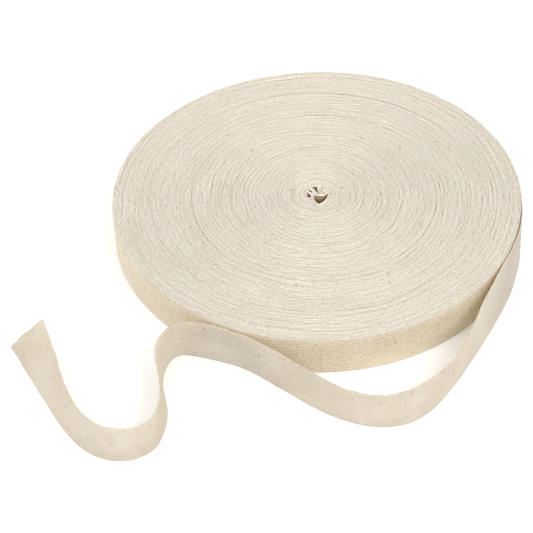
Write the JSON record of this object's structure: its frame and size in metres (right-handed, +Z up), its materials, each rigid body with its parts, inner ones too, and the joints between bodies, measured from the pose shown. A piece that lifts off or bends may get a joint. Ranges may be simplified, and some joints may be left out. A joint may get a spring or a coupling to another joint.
{
  "type": "roll of cotton twill tape",
  "caption": "Flat coreless roll of narrow woven cotton twill tape, with a loose end that stands on its edge and winds across the surface in front of the roll.",
  "frame": {"origin": "on the roll's axis, at the height of the surface that the roll lies on", "axes": "+Z is up, along the roll's axis; -Y is the front, where the loose end lies; +X is to the right seen from the front"},
  "size_m": [0.2982, 0.2986, 0.0254],
  "materials": {
    "wound_cotton": "unbleached cotton, stacked tape edges on the flat faces and herringbone weave round the rim",
    "loose_cotton": "unbleached cotton herringbone weave with small seed flecks"
  },
  "bodies": {
    "root": {"wound_roll": "wound_cotton", "loose_end": "loose_cotton"}
  },
  "joints": []
}
